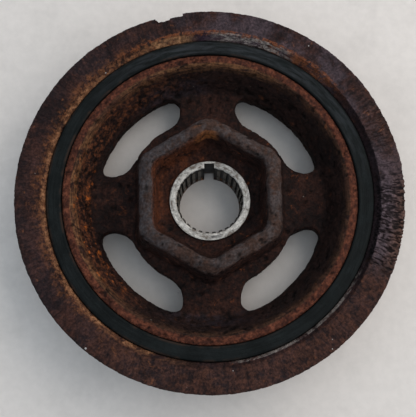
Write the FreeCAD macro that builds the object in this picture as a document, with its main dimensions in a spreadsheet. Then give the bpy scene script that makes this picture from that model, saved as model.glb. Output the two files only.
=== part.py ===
import FreeCAD, Part
import math
import os
import Sketcher

# Crankshaft belt pulley with a rubber torsional damper.
# Origin: on the bore axis at the hub's rear end. +Z: along the bore, towards the front.
# +Y: from the bore axis towards the keyway.

os.makedirs("parts", exist_ok=True)
doc = FreeCAD.newDocument("damper_pulley")

# ---------------------------------------------------------------- driving dimensions, mm
sheet = doc.addObject("Spreadsheet::Sheet", "sizes")
drivingSizes = [
    ("hubLength", 34.5, "hub, rear end to the lip of the holding socket"),
    ("ringFront", 34.5, "height of the belt ring's front face"),
    ("ringRear", 4.0, "height of the belt ring's rear face"),
    ("ringRadius", 86.0, "belt ring flanges"),
    ("ribTipRadius", 84.4, "lands between the belt grooves"),
    ("grooveDepth", 2.9, "belt groove below its lands"),
    ("groovePitch", 3.56, "ribbed belt pitch"),
    ("grooveCount", 7, "belt grooves"),
    ("grooveMouth", 3.1, "groove width at the lands"),
    ("grooveFloor", 1.0, "groove width at its floor"),
    ("frontFlange", 3.0, "front flange thickness"),
    ("ringBore", 72.45, "belt ring's bore, just clear of the rubber"),
    ("ringFaceInner", 75.0, "inner edge of the belt ring's front face"),
    ("ringStepDepth", 3.6, "depth of the bevel inside the front face"),
    ("edgeBevel", 0.8, "bevel on the flanges' outer corners"),
    ("rubberOuter", 72.4, "rubber ring's outside"),
    ("rubberInner", 65.6, "rubber ring's inside, on the hub rim"),
    ("rubberFront", 31.6, "rubber ring's front border"),
    ("rubberRear", 6.6, "rubber ring's rear border"),
    ("rubberCrown", 0.7, "how far the rubber's faces bulge"),
    ("rimFront", 31.8, "front of the hub's rim"),
    ("rimRear", 5.4, "rear of the hub's rim"),
    ("rimInnerFront", 60.3, "inner edge of the rim's front face"),
    ("rimInnerRear", 60.6, "inner edge of the rim's rear face"),
    ("webOuter", 53.2, "foot of the dished wall on the web's front"),
    ("webFrontOuter", 15.0, "web's front height at the dished wall"),
    ("webFrontInner", 17.2, "web's front height at the boss"),
    ("webRear", 8.0, "web's rear height"),
    ("webRearOuter", 57.0, "foot of the rear dish"),
    ("rearBoss", 26.0, "rear boss radius"),
    ("rearBossFoot", 28.0, "rear boss radius at the web"),
    ("hexOuter", 63.6, "holding boss across flats at its lip"),
    ("hexCornerOuter", 7.0, "rounding of the boss's corners"),
    ("hexDraftOuter", 7.0, "draft of the boss's outside, degrees"),
    ("hexLip", 2.2, "rounding of the boss's lip"),
    ("hexInner", 50.5, "holding socket across flats at its mouth"),
    ("hexCornerInner", 4.0, "rounding of the socket's corners"),
    ("hexDraftInner", 8.0, "draft of the socket's walls, degrees"),
    ("socketFloor", 18.7, "height of the socket's floor"),
    ("seatHeight", 19.5, "height of the bolt seat"),
    ("seatOuter", 18.5, "bolt seat's outer radius"),
    ("seatInner", 15.5, "bolt seat's inner radius, at the bore's bevel"),
    ("pilotRadius", 14.3, "crank bore, plain stretch at its rear"),
    ("boreRadius", 14.45, "crank bore, crests of the serrations"),
    ("toothRadius", 15.25, "root radius of the bore's serrations"),
    ("toothCount", 30, "serrations round the bore"),
    ("toothWidth", 1.5, "width of one serration"),
    ("toothEnd", 8.0, "height at which the serrations stop and the plain stretch starts"),
    ("keywayWidth", 4.6, "keyway"),
    ("keywayReach", 17.4, "keyway's floor, from the axis"),
    ("windowOuter", 53.0, "windows' outer radius"),
    ("windowInner", 40.0, "windows' inner radius"),
    ("windowAngle", 58.0, "angle that one window spans, degrees"),
    ("windowCount", 4, "windows in the web"),
    ("windowCornerOuter", 3.7, "rounding of a window's outer corners"),
    ("windowCornerInner", 8.6, "rounding of a window's inner corners"),
]
for row, (alias, value, meaning) in enumerate(drivingSizes, start=1):
    sheet.set(f"A{row}", meaning)
    sheet.set(f"B{row}", str(value))
    sheet.setAlias(f"B{row}", alias)
doc.recompute()


def size(expression):
    """The number that a spreadsheet expression gives now."""
    return float(sheet.evalExpression(expression))


# ---------------------------------------------------------------- sketch and feature helpers
def newBody(name):
    """A body with its own label, standing at the origin."""
    body = doc.addObject("PartDesign::Body", name)
    body.Label = name
    body.Placement = FreeCAD.Placement()
    return body


def originPart(body, role):
    """One of the body's own origin planes or axes."""
    for feature in body.Origin.OriginFeatures:
        if feature.Role == role:
            return feature
    raise ValueError(role)


def newSketch(body, name, role, height=None):
    """A sketch on an origin plane of the body, lifted to a height given as an expression."""
    sketch = body.newObject("Sketcher::SketchObject", name)
    sketch.AttachmentSupport = [(originPart(body, role), "")]
    sketch.MapMode = "FlatFace"
    if height:
        sketch.setExpression("AttachmentOffset.Base.z", bound(height))
    return sketch


def bound(expression):
    """The expression with each alias pointed at the spreadsheet."""
    words = []
    for word in expression.split(" "):
        words.append("sizes." + word if word[0].isalpha() and "(" not in word else word)
    return " ".join(words)


def closedOutline(sketch, corners):
    """Straight lines through the corners, each held by expressions for its two places."""
    places = [FreeCAD.Vector(size(across), size(up), 0) for across, up in corners]
    for number, place in enumerate(places):
        following = places[(number + 1) % len(places)]
        sketch.addGeometry(Part.LineSegment(place, following), False)
    for number in range(len(corners)):
        joined = Sketcher.Constraint("Coincident", number, 2, (number + 1) % len(corners), 1)
        sketch.addConstraint(joined)
    for number, (across, up) in enumerate(corners):
        holdPoint(sketch, number, 1, across, up)


def holdPoint(sketch, line, end, across, up):
    """Ties one end of a line to its distances from the sketch's origin."""
    for direction, expression in (("DistanceX", across), ("DistanceY", up)):
        held = Sketcher.Constraint(direction, -1, 1, line, end, size(expression))
        index = sketch.addConstraint(held)
        sketch.setExpression(f"Constraints[{index}]", bound(expression))


def hexagon(sketch, acrossFlats, corner):
    """A regular hexagon about the origin with a corner on the +Y axis, its corners rounded."""
    slope = math.tan(math.radians(30))
    ends = []
    for number in range(6):
        turn = math.radians(60 * number)
        for side in (-1, 1):
            across = math.cos(turn) - side * slope * math.sin(turn)
            up = math.sin(turn) + side * slope * math.cos(turn)
            backX = side * slope * math.sin(turn)
            backY = side * slope * math.cos(turn)
            ends.append((f"{acrossFlats} * {across / 2:.6f} + {corner} * {backX:.6f}",
                         f"{acrossFlats} * {up / 2:.6f} - {corner} * {backY:.6f}"))
    for number in range(6):
        first, last = ends[2 * number], ends[2 * number + 1]
        start = FreeCAD.Vector(size(first[0]), size(first[1]), 0)
        stop = FreeCAD.Vector(size(last[0]), size(last[1]), 0)
        line = sketch.addGeometry(Part.LineSegment(start, stop), False)
        holdPoint(sketch, line, 1, *first)
        holdPoint(sketch, line, 2, *last)
    for number in range(6):
        turn = math.radians(60 * number + 30)
        reach = (size(acrossFlats) / 2 - size(corner)) / math.cos(math.radians(30))
        centre = FreeCAD.Vector(reach * math.cos(turn), reach * math.sin(turn), 0)
        round_ = Part.Circle(centre, FreeCAD.Vector(0, 0, 1), size(corner))
        span = math.radians(30)
        arc = sketch.addGeometry(Part.ArcOfCircle(round_, turn - span, turn + span), False)
        sketch.addConstraint(Sketcher.Constraint("Coincident", arc, 1, number, 2))
        sketch.addConstraint(Sketcher.Constraint("Coincident", arc, 2, (number + 1) % 6, 1))
        index = sketch.addConstraint(Sketcher.Constraint("Radius", arc, size(corner)))
        sketch.setExpression(f"Constraints[{index}]", bound(corner))


def circle(sketch, radius):
    """A circle about the sketch's origin."""
    shape = Part.Circle(FreeCAD.Vector(0, 0, 0), FreeCAD.Vector(0, 0, 1), size(radius))
    number = sketch.addGeometry(shape, False)
    sketch.addConstraint(Sketcher.Constraint("Coincident", number, 3, -1, 1))
    index = sketch.addConstraint(Sketcher.Constraint("Radius", number, size(radius)))
    sketch.setExpression(f"Constraints[{index}]", bound(radius))


def revolve(body, name, sketch, kind="PartDesign::Revolution"):
    """Turns the sketch a full circle about its vertical axis, which is the bore axis."""
    feature = body.newObject(kind, name)
    feature.Profile = sketch
    feature.ReferenceAxis = (sketch, ["V_Axis"])
    feature.Angle = 360
    doc.recompute()
    return feature


def extrude(body, name, sketch, kind, length, draft=None, upwards=False):
    """A pad or a pocket of the given length, drafted if a draft is given."""
    feature = body.newObject(kind, name)
    feature.Profile = sketch
    feature.setExpression("Length", bound(length))
    if draft:
        feature.setExpression("TaperAngle", bound(draft))
    feature.Reversed = upwards
    doc.recompute()
    return feature


def dressEdges(body, name, kind, base, chosen, amount):
    """Rounds or bevels the base feature's edges that the test picks out."""
    names = [f"Edge{n}" for n, edge in enumerate(base.Shape.Edges, start=1) if chosen(edge)]
    if not names:
        raise ValueError(f"{name}: no edge was picked out")
    feature = body.newObject(kind, name)
    feature.Base = (base, names)
    driven = "Radius" if kind == "PartDesign::Fillet" else "Size"
    feature.setExpression(driven, bound(amount))
    doc.recompute()
    return feature


def pattern(body, name, kind, original, count, **settings):
    """Repeats a feature, and makes the pattern the body's tip."""
    feature = body.newObject(kind, name)
    feature.Originals = [original]
    for setting, value in settings.items():
        setattr(feature, setting, value)
    feature.setExpression("Occurrences", bound(count))
    body.Tip = feature
    doc.recompute()
    return feature


def mustCut(before, after):
    """Stops the build if a cut took nothing away."""
    if after.Shape.Volume > before.Shape.Volume - 0.1:
        raise ValueError(f"{after.Name} cut nothing")


def isRound(edge, radius, height, slack=0.05):
    """Whether an edge is a circle about the bore axis of that radius and height."""
    curve = edge.Curve
    if not isinstance(curve, Part.Circle):
        return False
    centred = math.hypot(curve.Center.x, curve.Center.y) < slack
    return centred and abs(curve.Radius - radius) < slack and abs(curve.Center.z - height) < slack


def isCorner(edge, radius, slack):
    """Whether an edge is a straight upright corner at that distance from the bore axis."""
    if isinstance(edge.Curve, Part.Circle) or edge.Length < 3:
        return False
    first, last = edge.Vertexes[0].Point, edge.Vertexes[-1].Point
    upright = abs(first.z - last.z) > 0.9 * edge.Length
    middle = math.hypot(first.x + last.x, first.y + last.y) / 2
    return upright and abs(middle - radius) < slack


# ---------------------------------------------------------------- hub
def windowOutline(sketch):
    """A window: two arcs about the bore axis, closed by two radial lines."""
    origin, upwards = FreeCAD.Vector(0, 0, 0), FreeCAD.Vector(0, 0, 1)
    half = math.radians(size("windowAngle") / 2)
    first, last = math.radians(45) - half, math.radians(45) + half
    for radius in ("windowOuter", "windowInner"):
        arc = Part.ArcOfCircle(Part.Circle(origin, upwards, size(radius)), first, last)
        number = sketch.addGeometry(arc, False)
        sketch.addConstraint(Sketcher.Constraint("Coincident", number, 3, -1, 1))
        index = sketch.addConstraint(Sketcher.Constraint("Radius", number, size(radius)))
        sketch.setExpression(f"Constraints[{index}]", bound(radius))
    for angle, end, sign in ((first, 1, "-"), (last, 2, "+")):
        ray = FreeCAD.Vector(math.cos(angle), math.sin(angle), 0)
        side = Part.LineSegment(ray * size("windowInner"), ray * size("windowOuter"))
        number = sketch.addGeometry(side, False)
        sketch.addConstraint(Sketcher.Constraint("Coincident", number, 1, 1, end))
        sketch.addConstraint(Sketcher.Constraint("Coincident", number, 2, 0, end))
        sketch.addConstraint(Sketcher.Constraint("PointOnObject", -1, 1, number))
        index = sketch.addConstraint(Sketcher.Constraint("Angle", number, angle))
        sketch.setExpression(f"Constraints[{index}]", bound(f"45 {sign} windowAngle / 2"))


def buildDisc(body):
    """The hub's turned form: rear boss, web, dished walls and rim."""
    sketch = newSketch(body, "hub_section", "XZ_Plane")
    closedOutline(sketch, [
        ("pilotRadius", "0"),
        ("rearBoss", "0"),
        ("rearBossFoot", "webRear"),
        ("webRearOuter", "webRear"),
        ("rimInnerRear", "rimRear"),
        ("rubberInner", "rimRear"),
        ("rubberInner", "rimFront"),
        ("rimInnerFront", "rimFront"),
        ("webOuter", "webFrontOuter"),
        ("windowInner - 2", "webFrontInner"),
        ("pilotRadius", "webFrontInner"),
    ])
    return revolve(body, "hub_disc", sketch)


def buildHoldingBoss(body):
    """The six-sided boss, and the socket in it that a holding tool fits."""
    outline = newSketch(body, "boss_hexagon", "XY_Plane", "hubLength")
    hexagon(outline, "hexOuter", "hexCornerOuter")
    boss = extrude(body, "holding_boss", outline, "PartDesign::Pad",
                   "hubLength - webRear - 2", "hexDraftOuter", upwards=True)

    mouth = newSketch(body, "socket_hexagon", "XY_Plane", "hubLength")
    hexagon(mouth, "hexInner", "hexCornerInner")
    socket = extrude(body, "holding_socket", mouth, "PartDesign::Pocket",
                     "hubLength - socketFloor", "hexDraftInner")
    mustCut(boss, socket)

    def onLip(edge):
        level = all(abs(v.Point.z - size("hubLength")) < 0.01 for v in edge.Vertexes)
        centre = edge.CenterOfMass
        return level and math.hypot(centre.x, centre.y) > size("hexInner") / 2 + 4

    return dressEdges(body, "boss_lip", "PartDesign::Fillet", socket, onLip, "hexLip")


def buildBore(body, before):
    """The bolt seat, the bore with its serrations, and the keyway."""
    disc = newSketch(body, "seat_circle", "XY_Plane", "socketFloor")
    circle(disc, "seatOuter")
    extrude(body, "bolt_seat", disc, "PartDesign::Pad", "seatHeight - socketFloor")

    narrow = newSketch(body, "pilot_circle", "XY_Plane", "seatHeight")
    circle(narrow, "pilotRadius")
    pilot = extrude(body, "pilot_bore", narrow, "PartDesign::Pocket", "seatHeight + 1")
    mustCut(before, pilot)
    wide = newSketch(body, "bore_circle", "XY_Plane", "seatHeight")
    circle(wide, "boreRadius")
    bore = extrude(body, "crank_bore", wide, "PartDesign::Pocket", "seatHeight - toothEnd")
    mustCut(pilot, bore)
    bevel = dressEdges(body, "bore_bevel", "PartDesign::Chamfer", bore,
                       lambda edge: isRound(edge, size("boreRadius"), size("seatHeight")),
                       "seatInner - boreRadius")

    notch = newSketch(body, "tooth_outline", "XY_Plane", "seatHeight")
    closedOutline(notch, [
        ("toothWidth / -2", "boreRadius - 1"),
        ("toothWidth / 2", "boreRadius - 1"),
        ("toothWidth / 2", "toothRadius"),
        ("toothWidth / -2", "toothRadius"),
    ])
    tooth = extrude(body, "one_serration", notch, "PartDesign::Pocket", "seatHeight - toothEnd")
    mustCut(bevel, tooth)
    axis = (originPart(body, "Z_Axis"), [""])
    teeth = pattern(body, "serrations", "PartDesign::PolarPattern", tooth, "toothCount",
                    Axis=axis, Angle=360)
    mustCut(tooth, teeth)

    slot = newSketch(body, "keyway_outline", "XY_Plane", "seatHeight")
    closedOutline(slot, [
        ("keywayWidth / -2", "boreRadius - 2"),
        ("keywayWidth / 2", "boreRadius - 2"),
        ("keywayWidth / 2", "keywayReach"),
        ("keywayWidth / -2", "keywayReach"),
    ])
    keyway = extrude(body, "keyway", slot, "PartDesign::Pocket", "seatHeight + 1")
    mustCut(teeth, keyway)
    return keyway


def buildWindows(body, before):
    """Four windows through the web, with their corners rounded."""
    outline = newSketch(body, "window_outline", "XY_Plane", "rimFront")
    windowOutline(outline)
    window = extrude(body, "one_window", outline, "PartDesign::Pocket", "rimFront + 1")
    mustCut(before, window)
    axis = (originPart(body, "Z_Axis"), [""])
    windows = pattern(body, "windows", "PartDesign::PolarPattern", window, "windowCount",
                      Axis=axis, Angle=360)
    mustCut(window, windows)
    outer = dressEdges(body, "window_outer_corners", "PartDesign::Fillet", windows,
                       lambda edge: isCorner(edge, size("windowOuter"), 0.1),
                       "windowCornerOuter")
    return dressEdges(body, "window_inner_corners", "PartDesign::Fillet", outer,
                      lambda edge: isCorner(edge, size("windowInner"), 0.1),
                      "windowCornerInner")


def buildHub():
    """The one-piece cast hub."""
    body = newBody("hub")
    buildDisc(body)
    boss = buildHoldingBoss(body)
    bored = buildBore(body, boss)
    buildWindows(body, bored)
    return body


# ---------------------------------------------------------------- rubber ring
def buildRubber():
    """The rubber ring between the hub's rim and the belt ring, a little crowned at both ends."""
    body = newBody("rubber_ring")
    sketch = newSketch(body, "rubber_section", "XZ_Plane")
    closedOutline(sketch, [
        ("rubberInner", "rubberRear"),
        ("rubberInner + 1.6", "rubberRear - rubberCrown"),
        ("rubberOuter - 1.6", "rubberRear - rubberCrown"),
        ("rubberOuter", "rubberRear"),
        ("rubberOuter", "rubberFront"),
        ("rubberOuter - 1.6", "rubberFront + rubberCrown"),
        ("rubberInner + 1.6", "rubberFront + rubberCrown"),
        ("rubberInner", "rubberFront"),
    ])
    revolve(body, "rubber_body", sketch)
    return body


# ---------------------------------------------------------------- belt ring
def buildRing():
    """The belt ring: two flanges, with the ribbed belt's grooves between them."""
    body = newBody("belt_ring")
    sketch = newSketch(body, "ring_section", "XZ_Plane")
    rearFlangeTop = "ringFront - frontFlange - grooveCount * groovePitch"
    closedOutline(sketch, [
        ("ringBore", "ringRear"),
        ("ringRadius - edgeBevel", "ringRear"),
        ("ringRadius", "ringRear + edgeBevel"),
        ("ringRadius", rearFlangeTop),
        ("ribTipRadius", rearFlangeTop),
        ("ribTipRadius", "ringFront - frontFlange"),
        ("ringRadius", "ringFront - frontFlange"),
        ("ringRadius", "ringFront - edgeBevel"),
        ("ringRadius - edgeBevel", "ringFront"),
        ("ringFaceInner", "ringFront"),
        ("ringBore", "ringFront - ringStepDepth"),
    ])
    blank = revolve(body, "ring_blank", sketch)

    middle = "ringFront - frontFlange - groovePitch / 2"
    cutter = newSketch(body, "groove_section", "XZ_Plane")
    closedOutline(cutter, [
        ("ribTipRadius - grooveDepth", middle + " - grooveFloor / 2"),
        ("ribTipRadius", middle + " - grooveMouth / 2"),
        ("ringRadius", middle + " - grooveMouth / 2"),
        ("ringRadius", middle + " + grooveMouth / 2"),
        ("ribTipRadius", middle + " + grooveMouth / 2"),
        ("ribTipRadius - grooveDepth", middle + " + grooveFloor / 2"),
    ])
    groove = revolve(body, "one_groove", cutter, "PartDesign::Groove")
    mustCut(blank, groove)
    grooves = pattern(body, "belt_grooves", "PartDesign::LinearPattern", groove, "grooveCount",
                      Direction=(originPart(body, "Z_Axis"), [""]), Reversed=True)
    grooves.setExpression("Length", bound("grooveCount * groovePitch - groovePitch"))
    doc.recompute()
    mustCut(groove, grooves)
    return body


# ---------------------------------------------------------------- build, check and write
bodies = [buildHub(), buildRubber(), buildRing()]
doc.recompute()

for thing in doc.Objects:
    if "Invalid" in thing.State or "Error" in thing.State:
        raise ValueError(f"{thing.Name} failed: {thing.State}")
for body in bodies:
    if body.Shape.isNull() or not body.Shape.isValid():
        raise ValueError(f"{body.Label} is not a valid shape")
    if len(body.Shape.Solids) != 1:
        raise ValueError(f"{body.Label} is {len(body.Shape.Solids)} solids")

for body in bodies:
    box = body.Shape.BoundBox
    body.Shape.exportStep(f"parts/{body.Label}.step")
    print(f"{body.Label}: {body.Shape.Volume / 1000:.1f} cm3, radius {box.XMax:.2f},"
          f" height {box.ZMin:.2f} to {box.ZMax:.2f} mm")
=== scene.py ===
import math

import bpy
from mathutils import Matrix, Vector


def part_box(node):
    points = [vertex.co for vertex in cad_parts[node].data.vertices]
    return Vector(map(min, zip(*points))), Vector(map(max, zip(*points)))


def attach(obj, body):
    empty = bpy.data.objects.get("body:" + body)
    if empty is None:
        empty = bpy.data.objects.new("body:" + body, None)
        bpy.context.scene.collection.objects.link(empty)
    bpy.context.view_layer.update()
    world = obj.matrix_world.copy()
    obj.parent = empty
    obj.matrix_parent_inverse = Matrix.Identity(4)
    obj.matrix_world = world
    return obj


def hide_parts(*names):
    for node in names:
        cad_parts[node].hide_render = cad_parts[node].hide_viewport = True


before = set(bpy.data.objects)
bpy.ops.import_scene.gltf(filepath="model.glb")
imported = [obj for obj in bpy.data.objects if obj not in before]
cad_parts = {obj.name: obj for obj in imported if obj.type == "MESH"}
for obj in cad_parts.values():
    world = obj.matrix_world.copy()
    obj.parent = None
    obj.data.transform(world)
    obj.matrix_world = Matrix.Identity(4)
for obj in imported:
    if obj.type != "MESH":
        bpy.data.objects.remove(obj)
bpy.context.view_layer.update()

mm = 0.001
ringLow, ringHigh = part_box("belt_ring")
rubberLow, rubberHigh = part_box("rubber_ring")
hubLow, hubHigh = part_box("hub")
front = ringHigh.z          # the ring's front face, level with the hub's lip
ringRadius = ringHigh.x

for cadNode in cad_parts.values():
    cadNode.select_set(False)


# small helpers used by every piece

def pick(piece):
    # makes one object the only selected and active one
    bpy.ops.object.select_all(action="DESELECT")
    piece.select_set(True)
    bpy.context.view_layer.objects.active = piece


def edit(piece, kind="VERT"):
    pick(piece)
    bpy.ops.object.mode_set(mode="EDIT")
    bpy.ops.mesh.select_mode(type=kind)


def selectEdges(piece, test):
    # selects the edges whose two ends pass the test, and nothing else
    edit(piece, "EDGE")
    bpy.ops.mesh.select_all(action="DESELECT")
    bpy.ops.object.mode_set(mode="OBJECT")
    points = piece.data.vertices
    for line in piece.data.edges:
        line.select = test(points[line.vertices[0]].co, points[line.vertices[1]].co)
    bpy.ops.object.mode_set(mode="EDIT")


def finishModifier(piece, modifier):
    pick(piece)
    bpy.ops.object.modifier_apply(modifier=modifier.name)


def placeInMesh(piece):
    # the object goes to the origin and its place into the mesh
    pick(piece)
    bpy.ops.object.transform_apply(location=True, rotation=True, scale=True)


def drawSection(name, outline):
    # a point extruded along the half section: each stop is (radius, height, step length)
    bpy.ops.object.select_all(action="DESELECT")
    bpy.ops.mesh.primitive_plane_add(size=mm, location=(outline[0][0], 0, outline[0][1]))
    piece = bpy.context.object
    piece.name = name
    edit(piece)
    bpy.ops.mesh.select_all(action="SELECT")
    bpy.ops.mesh.merge(type="CENTER")
    for here, there in zip(outline, outline[1:] + outline[:1]):
        run, rise = there[0] - here[0], there[1] - here[1]
        steps = max(1, round(math.hypot(run, rise) / there[2]))
        for _ in range(steps):
            step = (run / steps, 0, rise / steps)
            bpy.ops.mesh.extrude_vertices_move(TRANSFORM_OT_translate={"value": step})
    bpy.ops.mesh.select_all(action="SELECT")
    bpy.ops.mesh.remove_doubles(threshold=0.001 * mm)
    bpy.ops.object.mode_set(mode="OBJECT")
    placeInMesh(piece)
    return piece


def spinSection(piece, steps):
    # turns the half section once round the bore axis
    spin = piece.modifiers.new("spin", "SCREW")
    spin.steps = spin.render_steps = steps
    spin.use_merge_vertices = True
    spin.merge_threshold = 0.001 * mm
    finishModifier(piece, spin)
    edit(piece)
    bpy.ops.mesh.select_all(action="SELECT")
    bpy.ops.mesh.remove_doubles(threshold=0.001 * mm)
    bpy.ops.mesh.normals_make_consistent(inside=False)
    bpy.ops.object.mode_set(mode="OBJECT")


def combine(piece, tool, operation):
    # joins a tool to the piece or cuts it away, and removes the tool
    joint = piece.modifiers.new("combine", "BOOLEAN")
    joint.operation = operation
    joint.solver = "EXACT"
    joint.object = tool
    finishModifier(piece, joint)
    bpy.data.objects.remove(tool)


def smoothShade(piece, angle=35):
    pick(piece)
    bpy.ops.object.shade_smooth_by_angle(angle=math.radians(angle))


# node helpers: add a node, and sums and masks by name

def setSocket(tree, socket, value):
    if isinstance(value, bpy.types.NodeSocket):
        tree.links.new(value, socket)
    elif isinstance(value, tuple) and len(value) == 3 and socket.type == "RGBA":
        socket.default_value = (*value, 1)
    else:
        socket.default_value = value


def addNode(tree, kind, settings=None, inputs=None):
    node = tree.nodes.new(kind)
    for name, value in (settings or {}).items():
        setattr(node, name, value)
    for name, value in (inputs or {}).items():
        setSocket(tree, node.inputs[name], value)
    return node


def calc(tree, operation, *values):
    # a Math node's result
    node = addNode(tree, "ShaderNodeMath", {"operation": operation})
    for place, value in enumerate(values):
        setSocket(tree, node.inputs[place], value)
    return node.outputs[0]


def both(tree, *masks):
    # masks multiplied together
    result = masks[0]
    for mask in masks[1:]:
        result = calc(tree, "MULTIPLY", result, mask)
    return result


def total(tree, *parts):
    # parts added together
    result = parts[0]
    for part in parts[1:]:
        result = calc(tree, "ADD", result, part)
    return result


def ramp(tree, value, low, high, newLow=0.0, newHigh=1.0):
    # value going from low to high becomes newLow to newHigh, eased and held at the ends
    node = addNode(tree, "ShaderNodeMapRange", {"interpolation_type": "SMOOTHSTEP"},
                   {"Value": value, "From Min": low, "From Max": high,
                    "To Min": newLow, "To Max": newHigh})
    return node.outputs[0]


def noise(tree, place, scale, detail=3.0, roughness=0.55, distortion=0.0):
    node = addNode(tree, "ShaderNodeTexNoise", None,
                   {"Vector": place, "Scale": scale, "Detail": detail,
                    "Roughness": roughness, "Distortion": distortion})
    return node.outputs[0]


def ripple(tree, *settings):
    # noise that swings either side of zero
    return calc(tree, "SUBTRACT", noise(tree, *settings), 0.5)


def aboutAxis(tree, place):
    # distance from the bore axis, the direction about it in two parts, and the height
    x, y, z = addNode(tree, "ShaderNodeSeparateXYZ", None, {"Vector": place}).outputs
    reach = calc(tree, "SQRT", total(tree, both(tree, x, x), both(tree, y, y)))
    safe = calc(tree, "MAXIMUM", reach, 1e-5)      # never divides by nothing on the axis
    return reach, calc(tree, "DIVIDE", x, safe), calc(tree, "DIVIDE", y, safe), z


def polar(tree, place, aroundPitch, alongPitch, radius):
    # coordinates that run round the axis without a seam: one unit per pitch each way
    reach, unitX, unitY, z = aboutAxis(tree, place)
    turns = radius / aroundPitch
    along = calc(tree, "DIVIDE", total(tree, reach, z), alongPitch)
    joined = addNode(tree, "ShaderNodeCombineXYZ", None,
                     {"X": both(tree, unitX, turns), "Y": both(tree, unitY, turns), "Z": along})
    return joined.outputs[0]


def nearAngle(tree, unitX, unitY, degrees, halfWidth, fade):
    # 1 within halfWidth degrees of a direction about the axis, fading to 0
    turn = math.radians(degrees)
    facing = total(tree, both(tree, unitX, math.cos(turn)), both(tree, unitY, math.sin(turn)))
    outside = math.cos(math.radians(halfWidth + fade))
    return ramp(tree, facing, outside, math.cos(math.radians(halfWidth)))


def newGeometryGroup(name):
    tree = bpy.data.node_groups.new(name, "GeometryNodeTree")
    tree.interface.new_socket("Geometry", in_out="INPUT", socket_type="NodeSocketGeometry")
    tree.interface.new_socket("Geometry", in_out="OUTPUT", socket_type="NodeSocketGeometry")
    return tree


def pushOut(tree, height):
    # moves each point along its normal by height, and keeps the height for the finish
    start = addNode(tree, "NodeGroupInput")
    normal = addNode(tree, "GeometryNodeInputNormal")
    move = addNode(tree, "ShaderNodeVectorMath", {"operation": "SCALE"},
                   {0: normal.outputs[0], "Scale": height})
    kept = addNode(tree, "GeometryNodeStoreNamedAttribute",
                   {"data_type": "FLOAT", "domain": "POINT"},
                   {"Geometry": start.outputs[0], "Name": "relief",
                    "Value": both(tree, height, 1 / mm)})
    moved = addNode(tree, "GeometryNodeSetPosition", None,
                    {"Geometry": kept.outputs[0], "Offset": move.outputs[0]})
    end = addNode(tree, "NodeGroupOutput")
    tree.links.new(moved.outputs[0], end.inputs[0])


def roughen(piece, tree):
    relief = piece.modifiers.new("relief", "NODES")
    relief.node_group = tree
    finishModifier(piece, relief)


# belt ring: turned iron, scaled by rust, with a broken bite in its front edge

ring = {
    "steps": 1040,
    "faceInner": 75.0 * mm, "bore": 72.45 * mm, "bevelDepth": 3.6 * mm,
    "frontFlange": 3.0 * mm, "edge": 0.8 * mm,
    "pitch": 3.56 * mm, "grooves": 7, "lands": 84.4 * mm, "depth": 2.9 * mm,
    "mouth": 3.1 * mm, "floor": 1.0 * mm,
    "fine": 0.6 * mm, "coarse": 1.4 * mm,        # lengths of the steps along the section
    # rust: how far each kind swings, and how far the surface has worn back
    "swell": 0.5 * mm, "grain": 0.6 * mm, "strands": 0.6 * mm, "wornBack": 0.25 * mm,
    # folds: direction, half width, fade in degrees, share of the depth
    "folds": [(-10, 7, 15, 1.0), (14, 12, 12, 0.3)],
    "foldPitch": 1.35 * mm, "foldLength": 4 * mm, "foldDepth": 0.6 * mm, "middle": 80 * mm,
    # each bite: place along the rim, half length, depth, corner
    "biteAngle": 101.6,
    "bites": [(3.0 * mm, 3.3 * mm, 2.5 * mm, 1.3 * mm), (-1.6 * mm, 4.6 * mm, 1.7 * mm, 0.4 * mm)],
    "biteLift": 0.4 * mm, "biteDepth": 3.6 * mm, "biteGrain": 1.8 * mm, "biteRough": 0.7 * mm,
}


def ringOutline(size):
    fine, coarse = size["fine"], size["coarse"]
    outline = [
        (size["bore"], ringLow.z, 9 * mm),
        (ringRadius - size["edge"], ringLow.z, coarse),
        (ringRadius, ringLow.z + size["edge"], fine),
    ]
    top = front - size["frontFlange"]
    bottom = top - size["grooves"] * size["pitch"]
    outline.append((ringRadius, bottom, coarse))
    outline.append((size["lands"], bottom, coarse))
    for number in range(size["grooves"]):
        middle = bottom + (number + 0.5) * size["pitch"]
        outline.append((size["lands"], middle - size["mouth"] / 2, fine))
        outline.append((size["lands"] - size["depth"], middle - size["floor"] / 2, coarse))
        outline.append((size["lands"] - size["depth"], middle + size["floor"] / 2, coarse))
        outline.append((size["lands"], middle + size["mouth"] / 2, coarse))
    outline.append((size["lands"], top, fine))
    outline.append((ringRadius, top, coarse))
    outline.append((ringRadius, front - size["edge"], fine))
    outline.append((ringRadius - size["edge"], front, fine))
    outline.append((size["faceInner"], front, fine))
    outline.append((size["bore"], front - size["bevelDepth"], fine))
    return outline


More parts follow.
